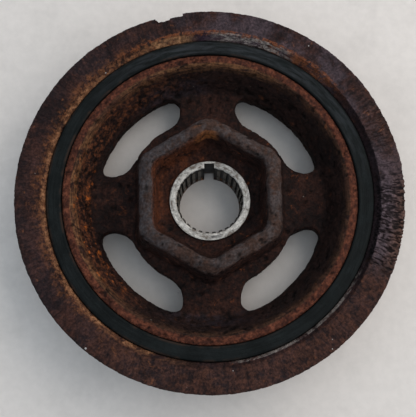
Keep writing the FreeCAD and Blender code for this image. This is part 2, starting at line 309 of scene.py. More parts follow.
def ringRelief(size):
    # rust scale on the ring: swell, fibres that run outwards, and wrinkled folds on one side
    tree = newGeometryGroup("ringRelief")
    place = addNode(tree, "GeometryNodeInputPosition").outputs[0]
    reach, unitX, unitY, z = aboutAxis(tree, place)
    fibre = polar(tree, place, 1.6 * mm, 9 * mm, size["middle"])
    wrinkle = polar(tree, place, size["foldPitch"], size["foldLength"], size["middle"])
    creases = ramp(tree, noise(tree, wrinkle, 1.0, 2.0, 0.5, 1.4), 0.62, 0.38)
    sides = [both(tree, nearAngle(tree, unitX, unitY, *span), share) for *span, share in size["folds"]]
    body = total(tree, both(tree, ripple(tree, place, 55.0, 2.0), size["swell"]),
                 both(tree, ripple(tree, place, 520.0, 4.0, 0.7), size["grain"]),
                 both(tree, ripple(tree, fibre, 1.0, 3.0, 0.6, 0.4), size["strands"]),
                 both(tree, creases, calc(tree, "MAXIMUM", *sides), -size["foldDepth"]),
                 -size["wornBack"])
    body = calc(tree, "MINIMUM", body, 0.0)      # never prouder than the turned shape
    clearOfRubber = ramp(tree, reach, 72.6 * mm, 73.6 * mm)
    onFlank = ramp(tree, reach, 85.2 * mm, 84.6 * mm)
    inGrooves = both(tree, ramp(tree, z, front - 3.0 * mm, front - 4.0 * mm), onFlank)
    quiet = calc(tree, "SUBTRACT", 1.0, both(tree, inGrooves, 0.7))
    pushOut(tree, both(tree, body, clearOfRubber, quiet))
    return tree


def biteTool(size):
    # where iron has broken from the rim: a deep round loss, then a shallower one with a steep end
    clouds = bpy.data.textures.new("brokenIron", "CLOUDS")
    clouds.noise_scale = size["biteGrain"]
    lumps = []
    for along, halfLength, deep, corner in size["bites"]:
        angle = math.radians(size["biteAngle"]) + along / ringRadius
        spot = (ringRadius * math.cos(angle), ringRadius * math.sin(angle), front + size["biteLift"])
        bpy.ops.object.select_all(action="DESELECT")
        bpy.ops.mesh.primitive_cube_add(size=2.0, location=spot, rotation=(0, 0, angle))
        lump = bpy.context.object
        lump.scale = (deep, halfLength, size["biteDepth"])
        placeInMesh(lump)
        rounded = lump.modifiers.new("rounded", "BEVEL")
        rounded.width = corner
        rounded.segments = 4
        finishModifier(lump, rounded)
        edit(lump)
        bpy.ops.mesh.select_all(action="SELECT")
        bpy.ops.mesh.subdivide(number_cuts=5)
        bpy.ops.object.mode_set(mode="OBJECT")
        rough = lump.modifiers.new("broken", "DISPLACE")
        rough.texture = clouds
        rough.strength = size["biteRough"]
        finishModifier(lump, rough)
        lumps.append(lump)
    for lump in lumps[1:]:
        combine(lumps[0], lump, "UNION")
    return lumps[0]


def buildRing(size):
    piece = drawSection("beltRing", ringOutline(size))
    spinSection(piece, size["steps"])
    combine(piece, biteTool(size), "DIFFERENCE")
    roughen(piece, ringRelief(size))
    smoothShade(piece, 50)
    return piece


# rubber ring: smooth, with a low crown and soft borders

rubber = {
    "steps": 400, "inner": 65.55 * mm, "outer": 72.4 * mm,
    "borderDrop": 0.9 * mm, "lip": 0.8 * mm, "step": 0.7 * mm, "inset": 0.1 * mm,
    "wave": 0.25 * mm, "lines": 0.12 * mm, "wornBack": 0.06 * mm,
}


def rubberOutline(size):
    inner, outer, step, lip = size["inner"], size["outer"], size["step"], size["lip"]
    top = rubberHigh.z - size["inset"]
    low = rubberLow.z + size["inset"]
    drop = size["borderDrop"]
    return [
        (inner, low + drop, 8 * mm),
        (inner + lip, low, step),
        (outer - lip, low, step),
        (outer, low + drop, step),
        (outer, top - drop, 8 * mm),
        (outer - 0.3 * lip, top - 0.45 * drop, step / 2),
        (outer - lip, top - 0.1 * drop, step / 2),
        (outer - 2 * lip, top, step),
        (inner + 2 * lip, top - 0.12 * mm, step),
        (inner + lip, top, step / 2),
        (inner + 0.4 * lip, top - 0.2 * drop, step / 2),
        (inner, top - drop, step / 2),
    ]


def rubberRelief(size):
    # a slow wave, and faint lines that run round the ring
    tree = newGeometryGroup("rubberRelief")
    place = addNode(tree, "GeometryNodeInputPosition").outputs[0]
    reach = aboutAxis(tree, place)[0]
    rings = polar(tree, place, 14 * mm, 0.9 * mm, 69 * mm)
    body = total(tree, both(tree, ripple(tree, place, 60.0, 2.0), size["wave"]),
                 both(tree, ripple(tree, rings, 1.0, 2.0), size["lines"]), -size["wornBack"])
    inside = both(tree, ramp(tree, reach, 65.6 * mm, 66.4 * mm),
                  ramp(tree, reach, 72.35 * mm, 71.6 * mm))
    pushOut(tree, both(tree, body, inside))
    return tree


def buildRubber(size):
    piece = drawSection("rubberRing", rubberOutline(size))
    spinSection(piece, size["steps"])
    roughen(piece, rubberRelief(size))
    smoothShade(piece, 60)
    return piece


# hub: one rough casting, its boss and socket six-sided, its web pierced by four windows

hub = {
    "steps": 256, "voxel": 0.8 * mm,
    "bossFlats": 63.6 * mm, "bossCorner": 7.0 * mm, "bossDraft": 7.0, "draftLength": 13 * mm,
    "lip": 2.4 * mm,
    "lipRound": [(0.0, 1.5), (0.25, 0.75), (0.6, 0.3), (1.2, 0.0)],      # drop and inset, in lips
    "footTop": 21 * mm,
    "foot": [(18.4 * mm, 0.012), (17.0 * mm, 0.045), (13.0 * mm, 0.055)],    # height, spread
    "socketFlats": 50.5 * mm, "socketCorner": 4.5 * mm, "socketDraft": 8.0,
    "socketMouth": [(2.0 * mm, 1.10), (-0.3 * mm, 1.03), (-1.2 * mm, 1.0)],  # over the front, width
    "socketFloor": 18.7 * mm, "socketToe": 2.5 * mm,
    "toeRound": [(0.8 * mm, 0.02), (0.0, 0.07)],                  # over the floor, narrowing
    "windowOuter": 53.0 * mm, "windowInner": 40.0 * mm, "windowAngle": 58.0, "windowTop": 22 * mm,
    "outerCorner": 3.7 * mm, "innerCorner": 9.2 * mm, "cornerSteps": 6, "sideSteps": 16,
    "boreSleeve": 17.9 * mm,
    # how far each kind of roughness swings, and how far the skin has worn back
    "swell": 0.7 * mm, "lumps": 0.8 * mm, "grain": 0.7 * mm,
    "pits": 0.5 * mm, "scabs": 0.22 * mm, "wornBack": 0.3 * mm,
}

# the turned form's half section, radius and height in mm, from the bore's rear round to its front
hubSection = [
    (17.9, 0.5), (25.4, 0.5), (26.1, 1.3), (27.4, 6.4), (28.6, 7.7), (31.0, 8.1),
    (55.0, 8.1), (57.8, 7.4), (60.4, 5.6), (65.5, 5.5), (65.5, 31.3), (65.2, 31.7),
    (62.4, 31.75), (61.2, 31.3), (60.2, 30.2), (59.5, 28.6), (55.0, 18.6), (53.9, 16.6),
    (52.2, 15.4), (50.0, 15.3), (40.0, 16.9), (36.0, 17.2), (17.9, 17.2),
]


def hexColumn(name, flats, corner, levels):
    # a six-sided column with rounded corners: levels are (height, share of the width), from the top down
    height, width = levels[0]
    bpy.ops.object.select_all(action="DESELECT")
    bpy.ops.mesh.primitive_circle_add(vertices=6, radius=width * flats / 2 / math.cos(math.radians(30)),
                                      fill_type="NGON", location=(0, 0, height))
    column = bpy.context.object
    column.name = name
    placeInMesh(column)
    edit(column)
    bpy.ops.mesh.select_all(action="SELECT")
    for level, share in levels[1:]:
        bpy.ops.mesh.extrude_region_move(TRANSFORM_OT_translate={"value": (0, 0, level - height)})
        bpy.ops.transform.resize(value=(share / width, share / width, 1),
                                 center_override=(0, 0, level))
        height, width = level, share
    bpy.ops.object.mode_set(mode="OBJECT")

    def upright(a, b):
        return abs(a.z - b.z) > 0.3 * mm

    selectEdges(column, upright)
    bpy.ops.mesh.bevel(offset=corner * math.tan(math.radians(30)), segments=8, profile=0.5)
    bpy.ops.mesh.select_all(action="SELECT")
    bpy.ops.mesh.normals_make_consistent(inside=False)
    bpy.ops.object.mode_set(mode="OBJECT")
    return column


def windowOutline(size):
    # the curved slot as a level outline: tight outer corners, wide inner ones
    low, high = size["windowInner"], size["windowOuter"]
    wide, tight = size["innerCorner"], size["outerCorner"]
    middle = (low + high) / 2
    half = math.radians(size["windowAngle"] / 2) * middle
    corners = [(half - wide, low + wide, wide, -90), (half - tight, high - tight, tight, 0),
               (tight - half, high - tight, tight, 90), (wide - half, low + wide, wide, 180)]
    stops = []
    for along, radius, corner, start in corners:
        for step in range(size["cornerSteps"] + 1):
            turn = math.radians(start + step * 90 / size["cornerSteps"])
            stops.append((along + corner * math.cos(turn), radius + corner * math.sin(turn)))
        if start in (0, 180):
            side = radius + corner if start == 0 else radius - corner
            for step in range(1, size["sideSteps"]):
                stops.append((along * (1 - 2 * step / size["sideSteps"]), side))
    return [(radius * math.cos(along / middle), radius * math.sin(along / middle))
            for along, radius in stops]


def windowTool(size, turn):
    # the outline extruded point by point, filled, drawn up into a cutter and turned to its place
    outline = windowOutline(size)
    bpy.ops.object.select_all(action="DESELECT")
    bpy.ops.mesh.primitive_plane_add(size=mm, location=(*outline[0], 0))
    tool = bpy.context.object
    edit(tool)
    bpy.ops.mesh.select_all(action="SELECT")
    bpy.ops.mesh.merge(type="CENTER")
    for here, there in zip(outline, outline[1:] + outline[:1]):
        step = (there[0] - here[0], there[1] - here[1], 0)
        bpy.ops.mesh.extrude_vertices_move(TRANSFORM_OT_translate={"value": step})
    bpy.ops.mesh.select_all(action="SELECT")
    bpy.ops.mesh.remove_doubles(threshold=0.001 * mm)
    bpy.ops.mesh.edge_face_add()
    bpy.ops.mesh.extrude_region_move(TRANSFORM_OT_translate={"value": (0, 0, size["windowTop"])})
    bpy.ops.mesh.select_all(action="SELECT")
    bpy.ops.mesh.normals_make_consistent(inside=False)
    bpy.ops.object.mode_set(mode="OBJECT")
    placeInMesh(tool)
    tool.rotation_euler = (0, 0, math.radians(turn))
    placeInMesh(tool)
    return tool


def hubRelief(size):
    # sand-cast skin, eaten by rust: swell, lumps, grain, pits and scabs
    tree = newGeometryGroup("hubRelief")
    place = addNode(tree, "GeometryNodeInputPosition").outputs[0]
    reach, _, _, z = aboutAxis(tree, place)
    pits = ramp(tree, noise(tree, place, 300.0, 1.0), 0.40, 0.28)
    scabs = ramp(tree, noise(tree, place, 120.0, 4.0, 0.6, 0.5), 0.52, 0.58)
    body = total(tree, both(tree, ripple(tree, place, 70.0, 2.0), size["swell"]),
                 both(tree, ripple(tree, place, 230.0, 3.0, 0.6), size["lumps"]),
                 both(tree, ripple(tree, place, 620.0, 3.0, 0.7), size["grain"]),
                 both(tree, pits, -size["pits"]), both(tree, scabs, size["scabs"]),
                 -size["wornBack"])
    ceiling = ramp(tree, z, front - 2 * mm, front - 0.6 * mm, 0.6 * mm, -0.06 * mm)
    body = calc(tree, "MINIMUM", body, ceiling)      # nothing rises over the lip
    clearOfRubber = ramp(tree, reach, 65.45 * mm, 64.6 * mm)
    clearOfSleeve = ramp(tree, reach, 18.2 * mm, 20.5 * mm, 0.25, 1.0)
    pushOut(tree, both(tree, body, clearOfRubber, clearOfSleeve))
    return tree


def bossLevels(size):
    # rounded lip, drafted sides and a foot that spreads into the web
    lipShare = size["lip"] * 2 / size["bossFlats"]
    drafted = 1 + math.tan(math.radians(size["bossDraft"])) * 2 / size["bossFlats"] * size["draftLength"]
    levels = [(front - drop * size["lip"], 1 - inset * lipShare) for drop, inset in size["lipRound"]]
    levels.append((size["footTop"], drafted))
    return levels + [(height, drafted + spread) for height, spread in size["foot"]]


def socketLevels(size):
    # flared mouth, sides that close in towards the floor, and a rounded toe
    lean = math.tan(math.radians(size["socketDraft"])) * 2 / size["socketFlats"]
    floor, toe = size["socketFloor"], size["socketToe"]
    narrow = 1 - lean * (front - floor)
    levels = [(front + above, share) for above, share in size["socketMouth"]]
    levels.append((floor + toe, narrow + lean * toe))
    return levels + [(floor + above, narrow - less) for above, less in size["toeRound"]]


def buildCasting(size):
    piece = drawSection("hubCasting", [(r * mm, z * mm, 40 * mm) for r, z in hubSection])
    spinSection(piece, size["steps"])
    boss = hexColumn("boss", size["bossFlats"], size["bossCorner"], bossLevels(size))
    combine(piece, boss, "UNION")
    socket = hexColumn("socket", size["socketFlats"], size["socketCorner"], socketLevels(size))
    combine(piece, socket, "DIFFERENCE")
    bpy.ops.object.select_all(action="DESELECT")
    bpy.ops.mesh.primitive_cylinder_add(vertices=128, radius=size["boreSleeve"], depth=80 * mm)
    combine(piece, bpy.context.object, "DIFFERENCE")
    for quarter in range(4):
        combine(piece, windowTool(size, 45 + 90 * quarter), "DIFFERENCE")
    cast = piece.modifiers.new("cast", "REMESH")
    cast.mode = "VOXEL"
    cast.voxel_size = size["voxel"]
    finishModifier(piece, cast)
    soften = piece.modifiers.new("soften", "SMOOTH")
    soften.factor = 0.5
    soften.iterations = 4
    finishModifier(piece, soften)
    roughen(piece, hubRelief(size))
    pick(piece)
    bpy.ops.object.shade_smooth()
    return piece


# machined bore: bolt seat, serrations, keyway and rear face, cut bright in the casting

bore = {
    "steps": 360, "seatOuter": 18.5 * mm, "seatInner": 15.5 * mm, "seat": 19.5 * mm,
    "crest": 14.45 * mm, "pilot": 14.3 * mm, "root": 15.25 * mm, "toothEnd": 8.0 * mm,
    "teeth": 30, "toothWidth": 1.5 * mm, "toothFoot": 1.2 * mm,
    "keyWidth": 4.6 * mm, "keyReach": 17.4 * mm,
    "keyDepth": 6 * mm, "keyLength": 30 * mm, "keyMiddle": 10 * mm,
    "rearOuter": 25.6 * mm, "overshoot": 2 * mm, "bevel": 0.15 * mm,
}


def boreOutline(size):
    step = 0.8 * mm
    return [
        (size["pilot"], 0.6 * mm, 4 * mm),
        (size["pilot"] + 0.6 * mm, 0.0, step),
        (size["rearOuter"] - 0.5 * mm, 0.0, step),
        (size["rearOuter"], 0.5 * mm, step),
        (size["rearOuter"], 1.4 * mm, 2 * mm),
        (size["seatOuter"], 1.5 * mm, 4 * mm),
        (size["seatOuter"], size["seat"] - 0.15 * mm, 6 * mm),
        (size["seatOuter"] - 0.15 * mm, size["seat"], 0.3 * mm),
        (size["seatInner"], size["seat"], 0.5 * mm),
        (size["crest"], size["seat"] - (size["seatInner"] - size["crest"]), 0.5 * mm),
        (size["crest"], size["toothEnd"], 4 * mm),
        (size["pilot"], size["toothEnd"], 4 * mm),
    ]


def block(size, spot, turn=0.0):
    # an upright box to cut with, swung round the bore axis by turn
    bpy.ops.object.select_all(action="DESELECT")
    bpy.ops.mesh.primitive_cube_add(size=1.0, location=spot)
    cutter = bpy.context.object
    cutter.scale = size
    placeInMesh(cutter)
    cutter.rotation_euler = (0, 0, turn)
    placeInMesh(cutter)
    return cutter


def buildBore(size):
    piece = drawSection("machinedBore", boreOutline(size))
    spinSection(piece, size["steps"])
    length = size["seat"] + size["overshoot"] - size["toothFoot"]
    depth = size["root"] - size["crest"] + size["overshoot"]
    teeth = []
    for number in range(size["teeth"]):
        turn = number * math.tau / size["teeth"]
        spot = (0, size["root"] - depth / 2, size["toothFoot"] + length / 2)
        teeth.append(block((size["toothWidth"], depth, length), spot, turn))
    pick(teeth[0])
    for tooth in teeth:
        tooth.select_set(True)
    bpy.ops.object.join()
    combine(piece, teeth[0], "DIFFERENCE")
    key = block((size["keyWidth"], size["keyDepth"], size["keyLength"]),
                (0, size["keyReach"] - size["keyDepth"] / 2, size["keyMiddle"]))
    combine(piece, key, "DIFFERENCE")
    edges = piece.modifiers.new("edges", "BEVEL")
    edges.width = size["bevel"]
    edges.segments = 2
    edges.limit_method = "ANGLE"
    edges.angle_limit = math.radians(40)
    finishModifier(piece, edges)
    smoothShade(piece, 30)
    return piece


beltRing = buildRing(ring)
print("belt ring", len(beltRing.data.polygons), "faces")
rubberRing = buildRubber(rubber)
print("rubber ring", len(rubberRing.data.polygons), "faces")
hubCasting = buildCasting(hub)
print("hub casting", len(hubCasting.data.polygons), "faces")
machinedBore = buildBore(bore)
print("machined bore", len(machinedBore.data.polygons), "faces")

for piece, body, slotName, node in (
        (beltRing, "ring", "ring_iron", "belt_ring"),
        (rubberRing, "hub", "rubber", "rubber_ring"),
        (hubCasting, "hub", "hub_iron", "hub"),
        (machinedBore, "hub", "hub_iron", "hub")):
    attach(piece, body)
    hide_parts(node)


# finishes: groups shared by the materials first, then one material for each piece

def newShaderGroup(name, inputs, outputs):
    tree = bpy.data.node_groups.new(name, "ShaderNodeTree")
    for label, kind, value in inputs:
        socket = tree.interface.new_socket(label, in_out="INPUT", socket_type="NodeSocket" + kind)
        if value is not None:
            socket.default_value = value
    for label, kind in outputs:
        tree.interface.new_socket(label, in_out="OUTPUT", socket_type="NodeSocket" + kind)
    return tree, addNode(tree, "NodeGroupInput").outputs, addNode(tree, "NodeGroupOutput").inputs


def useGroup(tree, group, inputs):
    return addNode(tree, "ShaderNodeGroup", {"node_tree": group}, inputs).outputs


def send(tree, sockets, **values):
    for name, value in values.items():
        tree.links.new(value, sockets[name])


def tint(tree, share, first, second):
    # first colour going over to the second as share goes from 0 to 1
    node = addNode(tree, "ShaderNodeMix", {"data_type": "RGBA"}, {0: share, 6: first, 7: second})
    return node.outputs[2]


def stain(tree, colour, mask, strength, other):
    return tint(tree, both(tree, mask, strength), colour, other)


def shade(tree, colour, factor):
    return addNode(tree, "ShaderNodeVectorMath", {"operation": "SCALE"},
                   {0: colour, "Scale": factor}).outputs[0]


def between(tree, value, low, high, fade):
    return both(tree, ramp(tree, value, low - fade, low), ramp(tree, value, high + fade, high))


def buildAxisPlace():
    # where a point lies about the bore axis: radius and height in mm, and its direction
    tree, given, result = newShaderGroup("axisPlace", [("Vector", "Vector", None)], [
        ("Radius", "Float"), ("Height", "Float"), ("East", "Float"), ("North", "Float")])
    reach, east, north, z = aboutAxis(tree, given["Vector"])
    send(tree, result, Radius=both(tree, reach, 1 / mm), Height=both(tree, z, 1 / mm),
         East=east, North=north)
    return tree


def buildSector():
    # 1 within Half degrees of the direction Toward, fading to 0 over Fade degrees more
    tree, given, result = newShaderGroup("sector", [
        ("East", "Float", 0.0), ("North", "Float", 0.0), ("Toward", "Float", 90.0),
        ("Half", "Float", 20.0), ("Fade", "Float", 10.0)], [("Mask", "Float")])
    turn = calc(tree, "RADIANS", given["Toward"])
    facing = total(tree, both(tree, given["East"], calc(tree, "COSINE", turn)),
                   both(tree, given["North"], calc(tree, "SINE", turn)))
    held = calc(tree, "MAXIMUM", calc(tree, "MINIMUM", facing, 1.0), -1.0)
    away = calc(tree, "DEGREES", calc(tree, "ARCCOSINE", held))
    outside = total(tree, given["Half"], given["Fade"])
    send(tree, result, Mask=ramp(tree, away, outside, given["Half"]))
    return tree


def buildRustSkin():
    # rusted iron: dark and brown patches, radial streaks or mottle, orange bloom, and dark pits, partly
    # rust and partly painted shade, with raised spots painted lighter as painted highlight
    tree, given, result = newShaderGroup("rustSkin", [
        ("Vector", "Vector", None), ("Dark", "Color", (0.02, 0.012, 0.012, 1)),
        ("Brown", "Color", (0.06, 0.03, 0.025, 1)), ("Orange", "Color", (0.2, 0.07, 0.02, 1)),
        ("Bloom", "Float", 0.2), ("Streaks", "Float", 0.0), ("Relief", "Float", 0.0)],
        [("Color", "Color"), ("Roughness", "Float"), ("Height", "Float"), ("Mottle", "Float"),
         ("Grain", "Float")])
    place = given["Vector"]
    fibre = polar(tree, place, 1.1 * mm, 6 * mm, ring["middle"])
    streak = noise(tree, fibre, 1.0, 4.0, 0.65, 0.5)
    patches = noise(tree, place, 80.0, 4.0, 0.6, 0.5)
    mottle = noise(tree, place, 420.0, 5.0, 0.75, 0.3)
    grains = noise(tree, place, 900.0, 3.0, 0.7)
    plain = calc(tree, "SUBTRACT", 1.0, given["Streaks"])
    tone = total(tree, both(tree, mottle, plain), both(tree, streak, given["Streaks"]))
    mean = total(tree, both(tree, patches, 0.45), both(tree, tone, 0.55))
    colour = tint(tree, ramp(tree, mean, 0.42, 0.60), given["Dark"], given["Brown"])
    bloom = noise(tree, place, 210.0, 6.0, 0.75, 0.6)
    reach = total(tree, bloom, both(tree, given["Bloom"], 0.4))
    bloomed = ramp(tree, reach, 0.60, 0.70)
    colour = tint(tree, bloomed, colour, given["Orange"])
    # darker in the hollows of the relief as painted shade on top of the rust, lighter on the raised
    # parts as painted highlight
    pitted = ramp(tree, given["Relief"], -0.25, -0.75, 1.0, 0.30)
    proud = ramp(tree, given["Relief"], -0.10, 0.20, 1.0, 1.40)
    coarse = ramp(tree, mottle, 0.36, 0.64, 0.85, 1.15)
    light = ramp(tree, grains, 0.34, 0.66, 0.68, 1.36)
    drawn = ramp(tree, streak, 0.36, 0.64, 0.84, 1.18)
    drawn = total(tree, plain, both(tree, drawn, given["Streaks"]))
    height = total(tree, both(tree, mottle, 0.6), both(tree, grains, 0.5),
                   both(tree, streak, given["Streaks"], 0.6))
    send(tree, result, Grain=both(tree, pitted, proud, light, coarse, drawn), Color=colour,
         Roughness=ramp(tree, mottle, 0.35, 0.65, 0.55, 0.9), Height=height, Mottle=mottle)
    return tree


def buildSpecks():
    # small scattered dots: Share is the part of the cells that have one
    tree, given, result = newShaderGroup("specks", [
        ("Vector", "Vector", None), ("Scale", "Float", 350.0), ("Share", "Float", 0.1),
        ("Width", "Float", 0.12)], [("Mask", "Float")])
    cells = addNode(tree, "ShaderNodeTexVoronoi", None,
                    {"Vector": given["Vector"], "Scale": given["Scale"]})
    parts = addNode(tree, "ShaderNodeSeparateColor", None, {"Color": cells.outputs["Color"]})
    chosen = calc(tree, "LESS_THAN", parts.outputs[0], given["Share"])
    wide = both(tree, given["Width"], total(tree, parts.outputs[1], 0.4))
    edge = both(tree, wide, 0.5)
    send(tree, result, Mask=both(tree, chosen, ramp(tree, cells.outputs["Distance"], wide, edge)))
    return tree


def buildTurned():
    # fine rings left by a lathe, and scratches that follow them
    tree, given, result = newShaderGroup("turned", [("Vector", "Vector", None)],
                                         [("Rings", "Float"), ("Smears", "Float")])
    rings = polar(tree, given["Vector"], 9 * mm, 0.28 * mm, 16 * mm)
    smears = polar(tree, given["Vector"], 3.2 * mm, 2.2 * mm, 16 * mm)
    send(tree, result, Rings=noise(tree, rings, 1.0, 3.0, 0.6),
         Smears=noise(tree, smears, 1.0, 4.0, 0.65, 0.6))
    return tree


axisPlace = buildAxisPlace()
sector = buildSector()
rustSkin = buildRustSkin()
specks = buildSpecks()
turned = buildTurned()


def newFinish(name, specular):
    material = bpy.data.materials.new(name)
    material.use_nodes = True
    tree = material.node_tree
    shader = tree.nodes["Principled BSDF"]
    shader.inputs["Specular IOR Level"].default_value = specular
    place = addNode(tree, "ShaderNodeTexCoord").outputs["Object"]
    where = useGroup(tree, axisPlace, {"Vector": place})
    return material, tree, shader, place, where


def toward(tree, where, degrees, half, fade):
    return useGroup(tree, sector, {"East": where["East"], "North": where["North"],
                                   "Toward": float(degrees), "Half": float(half),
                                   "Fade": float(fade)})["Mask"]


def reliefOf(tree):
    return addNode(tree, "ShaderNodeAttribute", {"attribute_name": "relief"}).outputs["Fac"]


def dotted(tree, place, scale, share, width):
    return useGroup(tree, specks, {"Vector": place, "Scale": scale, "Share": share,
                                   "Width": width})["Mask"]


def complete(tree, shader, colour, roughness, height, depth):
    # colour, roughness and a bump of the given depth go to the shader
    bump = addNode(tree, "ShaderNodeBump", None,
                   {"Height": height, "Distance": depth, "Strength": 1.0})
    setSocket(tree, shader.inputs["Base Color"], colour)
    setSocket(tree, shader.inputs["Roughness"], roughness)
    setSocket(tree, shader.inputs["Normal"], bump.outputs[0])


def ringFinish():
    material, tree, shader, place, where = newFinish("ringRust", 0.08)
    radius, height = where["Radius"], where["Height"]
    onFace = ramp(tree, height, 33.0, 34.0)
    skin = useGroup(tree, rustSkin, {
        "Vector": place, "Dark": (0.0115, 0.0064, 0.0066), "Brown": (0.0365, 0.0155, 0.0120),
        "Orange": (0.115, 0.042, 0.018), "Bloom": 0.02, "Streaks": 0.5, "Relief": reliefOf(tree)})
    colour, mottle = skin["Color"], skin["Mottle"]
    blotches = noise(tree, place, 170.0, 6.0, 0.72, 0.6)
    # grey-purple patches: partly rust colour, partly painted sheen, strongest towards the upper right
    # where the light falls
    purple = noise(tree, place, 60.0, 4.0, 0.6, 0.4)
    purpleSheenSide = total(tree, 0.12, both(tree, toward(tree, where, 40, 42, 34), 0.7))
    colour = tint(tree, both(tree, ramp(tree, purple, 0.44, 0.60), purpleSheenSide), colour,
                  tint(tree, mottle, (0.024, 0.0165, 0.0205), (0.070, 0.050, 0.056)))
    # warm rust along the inner part of the face, most of it on one side
    inner = ramp(tree, total(tree, radius, both(tree, blotches, 14.0)), 86.0, 80.5)
    warmSide = calc(tree, "MAXIMUM", toward(tree, where, 178, 42, 40),
                    both(tree, toward(tree, where, 118, 10, 14), 0.9))
    warm = both(tree, inner, warmSide, ramp(tree, mottle, 0.42, 0.58))
    colour = stain(tree, colour, warm, 0.6, (0.135, 0.050, 0.019))
    # granular brown at the bottom of the face
    low = both(tree, toward(tree, where, 285, 42, 25), ramp(tree, mottle, 0.38, 0.64), onFace)
    colour = stain(tree, colour, low, 0.45, (0.068, 0.029, 0.018))
    # the wrinkled folds: grey-purple crests as painted highlight and black creases as painted shade
    sides = [both(tree, toward(tree, where, *span), share) for *span, share in ring["folds"]]
    folded = both(tree, onFace, calc(tree, "MAXIMUM", *sides))
    wrinkle = polar(tree, place, ring["foldPitch"], ring["foldLength"], ring["middle"])
    ridges = noise(tree, wrinkle, 1.0, 2.0, 0.5, 1.4)
    crest = tint(tree, ramp(tree, radius, 78.0, 84.5), (0.100, 0.074, 0.083), (0.120, 0.064, 0.046))
    crest = tint(tree, ramp(tree, ridges, 0.34, 0.62), (0.016, 0.0100, 0.0100), crest)
    colour = stain(tree, colour, folded, 0.62, crest)
    # the bevel: tan on the left, partly rust and partly painted light where it faces the light; near
    # black on the right as painted shade; scabbed at the top
    bevel = ramp(tree, total(tree, radius, both(tree, blotches, 1.6)), 76.2, 75.5)
    # tan on the left: rust colour, partly painted light where the bevel faces the light
    tanEdge = ramp(tree, total(tree, radius, both(tree, blotches, 4.0)), 77.2, 75.8)
    tan = both(tree, tanEdge, toward(tree, where, 188, 48, 34), ramp(tree, blotches, 0.38, 0.60))
    tans = tint(tree, ramp(tree, mottle, 0.38, 0.62), (0.105, 0.042, 0.018), (0.250, 0.120, 0.060))
    colour = stain(tree, colour, tan, 0.85, tans)
    warmTop = both(tree, bevel, toward(tree, where, 50, 14, 10), ramp(tree, blotches, 0.44, 0.56))
    colour = stain(tree, colour, warmTop, 0.8, (0.125, 0.042, 0.018))
    # near black on the right: painted shade where the bevel faces away from the light
    dark = both(tree, bevel, toward(tree, where, 4, 32, 14))
    colour = stain(tree, colour, dark, 0.85, (0.007, 0.004, 0.005))
    scabEdge = total(tree, radius, both(tree, blotches, 9.0))
    scab = both(tree, ramp(tree, scabEdge, 81.2, 80.2), toward(tree, where, 91, 2.5, 3.5))
    colour = stain(tree, colour, scab, 0.85, (0.022, 0.012, 0.019))
    rustyEdge = total(tree, radius, both(tree, blotches, 2.4))
    rusty = both(tree, between(tree, rustyEdge, 76.0, 77.4, 0.5),
                 toward(tree, where, 80, 34, 12), ramp(tree, mottle, 0.40, 0.55))
    colour = stain(tree, colour, rusty, 0.8, (0.125, 0.040, 0.016))
    pale = both(tree, bevel, toward(tree, where, 104, 3, 9), ramp(tree, blotches, 0.40, 0.60))
    colour = stain(tree, colour, pale, 0.8, (0.27, 0.140, 0.068))
    # pale grey streaks near the top of the bevel and a thin grey line at the lower right: bare metal,
    # partly painted glint
    drawnOut = noise(tree, polar(tree, place, 4.5 * mm, 1.1 * mm, 74 * mm), 1.0, 5.0, 0.7, 0.8)
    bare = both(tree, between(tree, radius, 72.9, 75.0, 0.7), toward(tree, where, 74, 9, 9),
                ramp(tree, drawnOut, 0.44, 0.56), ramp(tree, mottle, 0.30, 0.50))
    lip = both(tree, between(tree, radius, 72.6, 73.5, 0.3), toward(tree, where, 304, 22, 10),
               ramp(tree, blotches, 0.40, 0.60))
    bare = calc(tree, "MAXIMUM", both(tree, bare, 0.95), both(tree, lip, 0.7))
    colour = stain(tree, colour, bare, 0.85, (0.215, 0.185, 0.165))
    # the grooved side, rubbed a little lighter on the crests, dark down in the grooves
    side = both(tree, ramp(tree, height, 31.6, 30.8), ramp(tree, radius, 79.5, 80.5))
    worn = tint(tree, ramp(tree, mottle, 0.38, 0.62), (0.040, 0.0195, 0.0135), (0.125, 0.060, 0.038))
    worn = tint(tree, ramp(tree, radius, 84.0, 82.0), worn, (0.020, 0.0105, 0.0080))
    colour = stain(tree, colour, side, 0.8, worn)
    colour = shade(tree, colour, skin["Grain"])
    dots = dotted(tree, place, 260.0, 0.07, 0.11)
    colour = stain(tree, colour, dots, 0.8, (0.42, 0.40, 0.38))
    complete(tree, shader, colour, skin["Roughness"], skin["Height"], 0.9 * mm)
    return material


